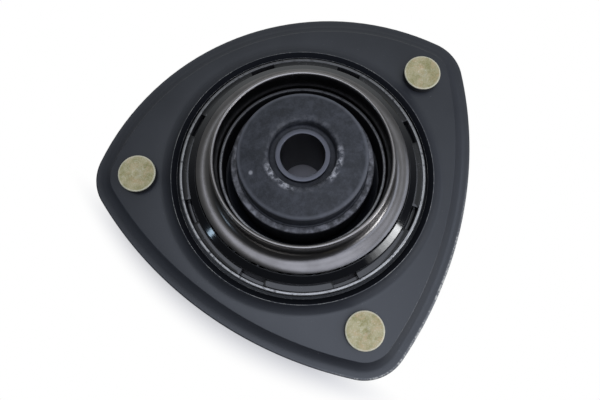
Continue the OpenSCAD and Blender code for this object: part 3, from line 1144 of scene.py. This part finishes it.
@dataclass
class ThrustBearing:
    """Open thrust bearing: case, turning race and snap ring, with balls and cage from the frame."""

    floor_z: float = 2.4
    case_t: float = 1.2
    case_in_r: float = 30.4
    case_out_r: float = 48.2
    case_inner_z: float = 16.7
    case_outer_z: float = 9.0
    race_in_r: float = 32.1
    race_t: float = 1.6
    race_half_w: float = 2.5
    fillet: float = 4.0
    collar_z: float = 27.55
    pitch_r: float = 38.2
    ball_z: float = 9.9
    groove_r: float = 3.65
    bead_r: float = 5.45
    ring_in_r: float = 41.0
    ring_step_r: float = 44.2
    ring_out_r: float = 46.9
    ring_wall: float = 1.6
    tab_z: float = 9.3
    step_z: float = 11.2
    cover_z: float = 13.4
    tab_n: int = 8
    tab_steps: int = 22
    tab_edge: float = 0.2
    tab_corner: float = 50.0
    slot_angle: float = 12.0
    slot_h: float = 3.6
    # Side and share by which the lips' wear is lowered: painted shade on the camera's far side.
    far_shade_side: float = 70.0
    far_shade_share: float = 0.75

    def case(self) -> list[Corner]:
        """Half section of the pressed case, worn on both lips.

        Returns:
            Points of the section, in order.
        """
        wall = self.case_out_r - self.case_t
        collar = self.case_in_r + self.case_t
        floor = self.floor_z + self.case_t
        bend = self.case_t + 0.4
        return rounded([
            Corner(self.case_in_r, self.floor_z, bend),
            Corner(self.case_out_r, self.floor_z, bend),
            Corner(self.case_out_r, self.case_outer_z - 0.9),
            Corner(self.case_out_r, self.case_outer_z, 0.4, 1.0),
            Corner(wall, self.case_outer_z, 0.3, 1.0),
            Corner(wall, self.case_outer_z - 0.9),
            Corner(wall, floor, 0.4),
            Corner(collar, floor, 0.4),
            Corner(collar, self.case_inner_z - 0.9),
            Corner(collar, self.case_inner_z, 0.35, 0.7),
            Corner(self.case_in_r, self.case_inner_z, 0.35, 0.7),
            Corner(self.case_in_r, self.case_inner_z - 0.9),
        ])

    def race(self) -> list[Corner]:
        """Half section of the turning race: groove, bead, fillet and rolled collar.

        Returns:
            Points of the section, in order.
        """
        collar_r = self.race_in_r + self.race_t
        bend_x = collar_r + self.fillet
        bend_z = self.ball_z + math.sqrt((self.bead_r + self.fillet) ** 2 - (self.pitch_r - bend_x) ** 2)
        meet = math.degrees(math.atan2(bend_z - self.ball_z, bend_x - self.pitch_r))
        bead_end = math.degrees(math.acos(self.race_half_w / self.bead_r))
        groove_end = math.degrees(math.acos(self.race_half_w / self.groove_r))
        edge = self.race_t / 2
        rim_z = self.ball_z + self.groove_r * math.sin(math.radians(groove_end))
        roll = arc((self.race_in_r + edge, self.collar_z - edge), edge, 180.0, 0.0)
        lip = [roll[0], *(corner._replace(wear=1.0) for corner in roll[1:-1]), roll[-1]]
        return [
            Corner(self.race_in_r, rim_z),
            *lip,
            *arc((bend_x, bend_z), self.fillet, 180.0, meet + 180.0),
            *arc((self.pitch_r, self.ball_z), self.bead_r, meet, bead_end, 24)[1:],
            *arc((self.pitch_r, self.ball_z), self.groove_r, groove_end, 180.0 - groove_end, 20),
        ]

    def build_case(self) -> bpy.types.Object:
        """Turn the case, and lower the wear on its lips on the side away from the front stud, the camera's
        far side, so that they are darker there: painted shade.

        Returns:
            The case.
        """
        case = turned("case", self.case())
        far_shade = polar(1.0, self.far_shade_side)
        for vert, wear in zip(case.data.vertices, case.data.attributes[WEAR].data):
            wear.value *= 1.0 - self.far_shade_share * max(0.0, vert.co.xy.normalized().dot(far_shade))
        return case

    def cover_slope(self, *shares: float) -> list[Corner]:
        """Points on the cover's straight slope, at shares of the way up, which keep its shading flat.

        Args:
            shares: Shares of the way up, from 0 to 1.

        Returns:
            The points, in the same order.
        """
        low = Vector((self.ring_step_r, self.step_z))
        high = Vector((self.ring_in_r + 0.2, self.cover_z))
        return [Corner(*low.lerp(high, share)) for share in shares]

    def snap_ring(self) -> bpy.types.Object:
        """Build the snap ring: a sloped cover, a hoop below and the tabs between the slots.

        Returns:
            The ring.
        """
        inner = self.ring_out_r - self.ring_wall
        slot_floor = self.tab_z - self.slot_h
        foot = self.floor_z + self.case_t + 0.1
        cover = rounded([
            Corner(self.ring_step_r, self.tab_z - 1.3),
            Corner(self.ring_step_r, self.step_z, 0.3),
            *self.cover_slope(0.18, 0.90),
            Corner(self.ring_in_r + 0.2, self.cover_z, 0.15),
            Corner(self.ring_in_r, self.cover_z - 1.6, 0.3),
            Corner(self.ring_step_r - 0.6, self.tab_z - 0.7),
        ])
        hoop = rounded([
            Corner(inner, foot),
            Corner(self.ring_out_r, foot, 0.3),
            Corner(self.ring_out_r, slot_floor, 0.2),
            Corner(inner, slot_floor, 0.2),
        ])
        bm = bmesh.new()
        spin_section(bm, cover, steps=RING_STEPS)
        spin_section(bm, hoop, steps=RING_STEPS)
        close_up(bm)
        pitch = 360.0 / self.tab_n
        for i in range(self.tab_n):
            start = i * pitch + self.slot_angle / 2
            self.add_tab(bm, start, pitch - self.slot_angle, self.ring_step_r - 0.2, slot_floor - 0.4)
        return as_object(bm, "snap_ring")

    def add_tab(self, bm: bmesh.types.BMesh, start: float, sweep: float, inner: float, low: float) -> None:
        """Add one tab of the skirt as a short turned block with rounded edges.

        Args:
            bm: The ring's mesh.
            start: Angle where the tab starts.
            sweep: Angle that the tab covers.
            inner: Inner radius.
            low: Height of its lower end, inside the hoop.
        """
        wear = bm.verts.layers.float[WEAR]
        corners = [(inner, low), (self.ring_out_r, low), (self.ring_out_r, self.tab_z), (inner, self.tab_z)]
        verts = []
        for r, z in corners:
            spot = polar(r, start)
            verts.append(bm.verts.new(Vector((spot.x, spot.y, z)) * MM))
            verts[-1][wear] = 1.0
        before = set(bm.faces)
        cap = bm.faces.new(verts)
        angle = math.radians(sweep)
        bmesh.ops.spin(bm, geom=[cap], cent=(0, 0, 0), axis=UP, angle=angle, steps=self.tab_steps)
        faces = [face for face in bm.faces if face not in before]
        bmesh.ops.recalc_face_normals(bm, faces=faces)
        edges = dict.fromkeys(edge for face in faces for edge in face.edges)
        limit = math.radians(self.tab_corner)
        bmesh.ops.bevel(
            bm,
            geom=[edge for edge in edges if edge.calc_face_angle(0.0) > limit],
            offset=self.tab_edge * MM,
            affect="EDGES",
            segments=2,
            profile=0.5,
            material=-1,
        )

    def build(self, nodes: dict[str, bpy.types.Object]) -> None:
        """Turn the visible pieces and finish the ones inside.

        Args:
            nodes: The frame's CAD objects by name.
        """
        case_finish = WornCoat(
            "case_coat",
            coat=(0.024, 0.024, 0.028),
            bare=(0.30, 0.30, 0.30),
            patch_size=1.6,
            patch_from=0.30,
            patch_to=0.50,
            rough=0.42,
        )
        fit(self.build_case(), case_finish, Body.MOUNT, ["bearing_case"])
        fit(turned("turning_race", self.race()), RaceSteel(), Body.RACE, ["lower_race"])
        fit(self.snap_ring(), GlossPlastic(), Body.MOUNT, ["retainer_ring"])
        inside = {
            "upper_race": PlainFinish("fixed_race_steel", (0.34, 0.34, 0.35), (0.24, 0.24, 0.25), 0.28),
            "ball_cage": PlainFinish("cage_plastic", (0.03, 0.03, 0.03), (0.02, 0.02, 0.02), 0.5, metal=0.0),
            "ball": PlainFinish("ball_steel", (0.72, 0.72, 0.74), (0.62, 0.62, 0.64), 0.14),
        }
        made = {key: finish.material() for key, finish in inside.items()}
        for name, node in nodes.items():
            key = "ball" if name[5:].isdigit() else name
            if key in made:
                node.data.materials.clear()
                node.data.materials.append(made[key])


@dataclass(frozen=True)
class Lamp:
    """Soft lamp that faces the part: where it hangs, its size, power and colour.

    The bearing is in degrees clockwise from the camera's right, seen in the picture, and the height is in
    degrees above the table.
    """

    name: str
    bearing: float
    height: float
    size: Point
    watts: float
    tint: Colour
    shape: LampShape = LampShape.WINDOW


@dataclass
class Studio:
    """White table, soft light and a camera that looks down on the strut side."""

    sides: Sequence[tuple[Vector, float]]
    floor_z: float = -20.0
    azimuth: float = 20.63
    elevation: float = 76.44
    distance: float = 213.0
    target: tuple[float, float, float] = (-5.07, -10.8, 10.0)
    focal_px: float = 554.1
    image_w: int = 600
    sensor: float = 36.0
    table_half: float = 140.0
    # Bluish grey of the table where its shade shows; the blue tint is painted shade colour.
    table_white: Colour = (0.50, 0.50, 0.57)
    table_glow: float = 1.0
    under_w: Point = (16.0, 1.0)
    under_depth: float = 0.4
    bore_shade: Point = (40.0, 55.0)
    shade_w: Point = (-2.0, 13.0)
    shade_end: Point = (-62.0, -48.0)
    shade_depth: float = 0.6
    room_tint: Colour = (0.94, 0.98, 1.0)
    near_level: float = 0.07
    side_level: float = 0.28
    side_span: Point = (0.10, 0.50)
    side_lean: Point = (0.8, 0.6)
    far_level: float = 0.5
    far_span: Point = (0.45, 1.00)
    cap_level: float = 0.50
    cap_span: Point = (0.70, 0.92)
    cap_lean: float = 9.0
    lamp_distance: float = 700.0
    overhead: Lamp = Lamp("overhead", 67.0, 77.0, (440.0, 860.0), 1.85, (0.79, 0.84, 1.0), LampShape.ROUND)
    fill: Lamp = Lamp("fill", 16.0, 43.0, (800.0, 230.0), 1.3, (0.76, 0.83, 1.0))
    side_lamp: Lamp = Lamp("side_lamp", 157.0, 17.0, (40.0, 50.0), 0.12, (0.6, 0.8, 1.0))
    window_bearing: float = 19.4
    window_height: float = 15.0
    panes: int = 8
    pane_angle: float = 3.6
    pane_h: float = 150.0
    pane_watts: float = 0.40
    pane_fade: float = 1.5
    daylight: Colour = (0.96, 0.98, 1.0)

    def forward(self) -> Vector:
        """Direction in which the camera looks."""
        side = polar(math.cos(math.radians(self.elevation)), 90.0 - self.azimuth)
        return Vector((side.x, side.y, -math.sin(math.radians(self.elevation))))

    def place_camera(self) -> None:
        """Set the camera at the photograph's viewing angle."""
        data = bpy.data.cameras.new("camera")
        data.sensor_width = self.sensor
        data.lens = self.sensor * self.focal_px / self.image_w
        data.clip_start = 0.01
        camera = bpy.data.objects.new("camera", data)
        camera.location = (Vector(self.target) - self.forward() * self.distance) * MM
        camera.rotation_euler = self.forward().to_track_quat("-Z", "Y").to_euler()
        bpy.context.scene.collection.objects.link(camera)
        bpy.context.scene.camera = camera

    def table_shade(self, shade: Shade) -> bpy.types.NodeSocket:
        """Find where the table shows shade: below the bore, under the plate and along the plate's left side.

        Args:
            shade: Node tree of the table's finish.

        Returns:
            Share of shade, from 0 to 1.
        """
        under: object = self.under_depth
        for middle, reach in self.sides:
            spot = (middle.x, middle.y, self.floor_z)
            inside = shade.near(spot, reach - self.under_w[0], reach - self.under_w[1])
            under = shade.math("MULTIPLY", under, inside)
        middle, reach = self.sides[-1]
        away = middle.normalized()
        x, y, _ = shade.split(shade.coords)
        across = shade.math("ADD", shade.math("MULTIPLY", x, away.x), shade.math("MULTIPLY", y, away.y))
        spot = (middle.x, middle.y, self.floor_z)
        strip = shade.near(spot, reach + self.shade_w[0], reach + self.shade_w[1])
        beyond = shade.step(across, self.shade_end[0] * MM, self.shade_end[1] * MM)
        strip = shade.math("MULTIPLY", strip, shade.math("SUBTRACT", 1.0, beyond))
        strip = shade.math("MULTIPLY", strip, self.shade_depth)
        shaded = shade.math("MAXIMUM", strip, under)
        return shade.math("MAXIMUM", shaded, shade.near((0.0, 0.0, self.floor_z), *self.bore_shade))

    def lay_table(self) -> None:
        """Lay the table under the stud tips, white to the camera and in reflections where it isn't shaded."""
        bm = bmesh.new()
        bmesh.ops.create_grid(bm, x_segments=2, y_segments=2, size=self.table_half * MM)
        bmesh.ops.translate(bm, verts=bm.verts[:], vec=(0.0, 0.0, self.floor_z * MM))
        table = as_object(bm, "table")
        shade = Shade("table_white")
        shade.set(base_color=self.table_white, roughness=1.0, specular_ior_level=0.0)
        lit = shade.math("SUBTRACT", 1.0, self.table_shade(shade))
        rays = shade.nodes.new("ShaderNodeLightPath").outputs
        seen = shade.math("MAXIMUM", rays["Is Camera Ray"], rays["Is Glossy Ray"])
        seen = shade.math("MAXIMUM", seen, rays["Is Transmission Ray"])
        glow = shade.nodes.new("ShaderNodeEmission")
        glow.inputs["Strength"].default_value = self.table_glow
        mix = shade.nodes.new("ShaderNodeMixShader")
        shade.feed(mix.inputs[0], shade.math("MULTIPLY", seen, lit))
        shade.feed(mix.inputs[1], shade.surface.outputs["BSDF"])
        shade.feed(mix.inputs[2], glow.outputs[0])
        shade.feed(shade.output.inputs["Surface"], mix.outputs[0])
        table.data.materials.append(shade.material)

    def light_world(self) -> None:
        """Light the room: pale behind the part, dim on the camera's side, and white to the camera."""
        world = bpy.data.worlds.new("room")
        bpy.context.scene.world = world
        world.use_nodes = True
        nodes, links = world.node_tree.nodes, world.node_tree.links
        nodes.clear()
        coords = nodes.new("ShaderNodeTexCoord")
        level = Vector((self.forward().x, self.forward().y, 0.0)).normalized()
        aloft = level * self.side_lean[0] + Vector((0.0, 0.0, self.side_lean[1]))
        lean = polar(math.sin(math.radians(self.cap_lean)), -self.azimuth)
        over = Vector((lean.x, lean.y, math.cos(math.radians(self.cap_lean))))
        total = None
        for axis, span, levels in (
            (aloft, self.side_span, (self.near_level, self.side_level)),
            (level, self.far_span, (0.0, self.far_level)),
            (over, self.cap_span, (0.0, self.cap_level)),
        ):
            facing = nodes.new("ShaderNodeVectorMath")
            facing.operation = "DOT_PRODUCT"
            facing.inputs[1].default_value = axis
            links.new(coords.outputs["Generated"], facing.inputs[0])
            ramp = nodes.new("ShaderNodeMapRange")
            ramp.interpolation_type = "SMOOTHSTEP"
            ramp.inputs["From Min"].default_value, ramp.inputs["From Max"].default_value = span
            ramp.inputs["To Min"].default_value, ramp.inputs["To Max"].default_value = levels
            links.new(facing.outputs["Value"], ramp.inputs["Value"])
            if total is None:
                total = ramp.outputs["Result"]
                continue
            add = nodes.new("ShaderNodeMath")
            links.new(total, add.inputs[0])
            links.new(ramp.outputs["Result"], add.inputs[1])
            total = add.outputs[0]
        room = nodes.new("ShaderNodeBackground")
        white = nodes.new("ShaderNodeBackground")
        rays = nodes.new("ShaderNodeLightPath")
        mix = nodes.new("ShaderNodeMixShader")
        output = nodes.new("ShaderNodeOutputWorld")
        links.new(total, room.inputs["Strength"])
        white.inputs["Strength"].default_value = 1.0
        room.inputs["Color"].default_value = (*self.room_tint, 1.0)
        white.inputs["Color"].default_value = (1.0, 1.0, 1.0, 1.0)
        links.new(rays.outputs["Is Camera Ray"], mix.inputs[0])
        links.new(room.outputs[0], mix.inputs[1])
        links.new(white.outputs[0], mix.inputs[2])
        links.new(mix.outputs[0], output.inputs[0])

    def hang_lamp(self, lamp: Lamp) -> None:
        """Hang one soft lamp so that it faces the part.

        Args:
            lamp: The lamp.
        """
        data = bpy.data.lights.new(lamp.name, "AREA")
        data.shape = lamp.shape.value
        data.size = lamp.size[0] * MM
        data.size_y = lamp.size[1] * MM
        data.energy = lamp.watts
        data.color = lamp.tint
        piece = bpy.data.objects.new(lamp.name, data)
        level = polar(math.cos(math.radians(lamp.height)), -lamp.bearing - self.azimuth)
        towards = Vector((level.x, level.y, math.sin(math.radians(lamp.height))))
        piece.location = towards * self.lamp_distance * MM
        piece.rotation_euler = (-towards).to_track_quat("-Z", "Y").to_euler()
        bpy.context.scene.collection.objects.link(piece)

    def hang_window(self) -> None:
        """Hang a window of upright panes, each dimmer than the last, so that its reflection fades out."""
        size = (self.lamp_distance * math.radians(self.pane_angle), self.pane_h)
        for i in range(self.panes):
            bearing = self.window_bearing + i * self.pane_angle
            watts = self.pane_watts * (1.0 - i / self.panes) ** self.pane_fade
            self.hang_lamp(Lamp(f"window_{i + 1}", bearing, self.window_height, size, watts, self.daylight))

    def build(self) -> None:
        """Set up the table, the light and the camera."""
        bpy.context.scene.view_settings.view_transform = "Standard"
        self.lay_table()
        self.light_world()
        self.hang_lamp(self.overhead)
        self.hang_lamp(self.fill)
        self.hang_window()
        self.hang_lamp(self.side_lamp)
        self.place_camera()


def main() -> None:
    """Load the frame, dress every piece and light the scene."""
    logging.basicConfig(level=logging.INFO, format="%(name)s: %(message)s")
    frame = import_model()
    plate = MountingPlate()
    fit(plate.build_plate(), BlackPaint(), Body.MOUNT, ["mounting_plate"])
    for node, angle in zip(("stud_front", "stud_right", "stud_left"), plate.stud_angles()):
        fit(Stud(node, angle).build(), YellowZinc(), Body.MOUNT, [node])
    Bush().build()
    ThrustBearing().build(frame["nodes"])
    Studio(plate.side_arcs()).build()


if __name__ == "__main__":
    main()
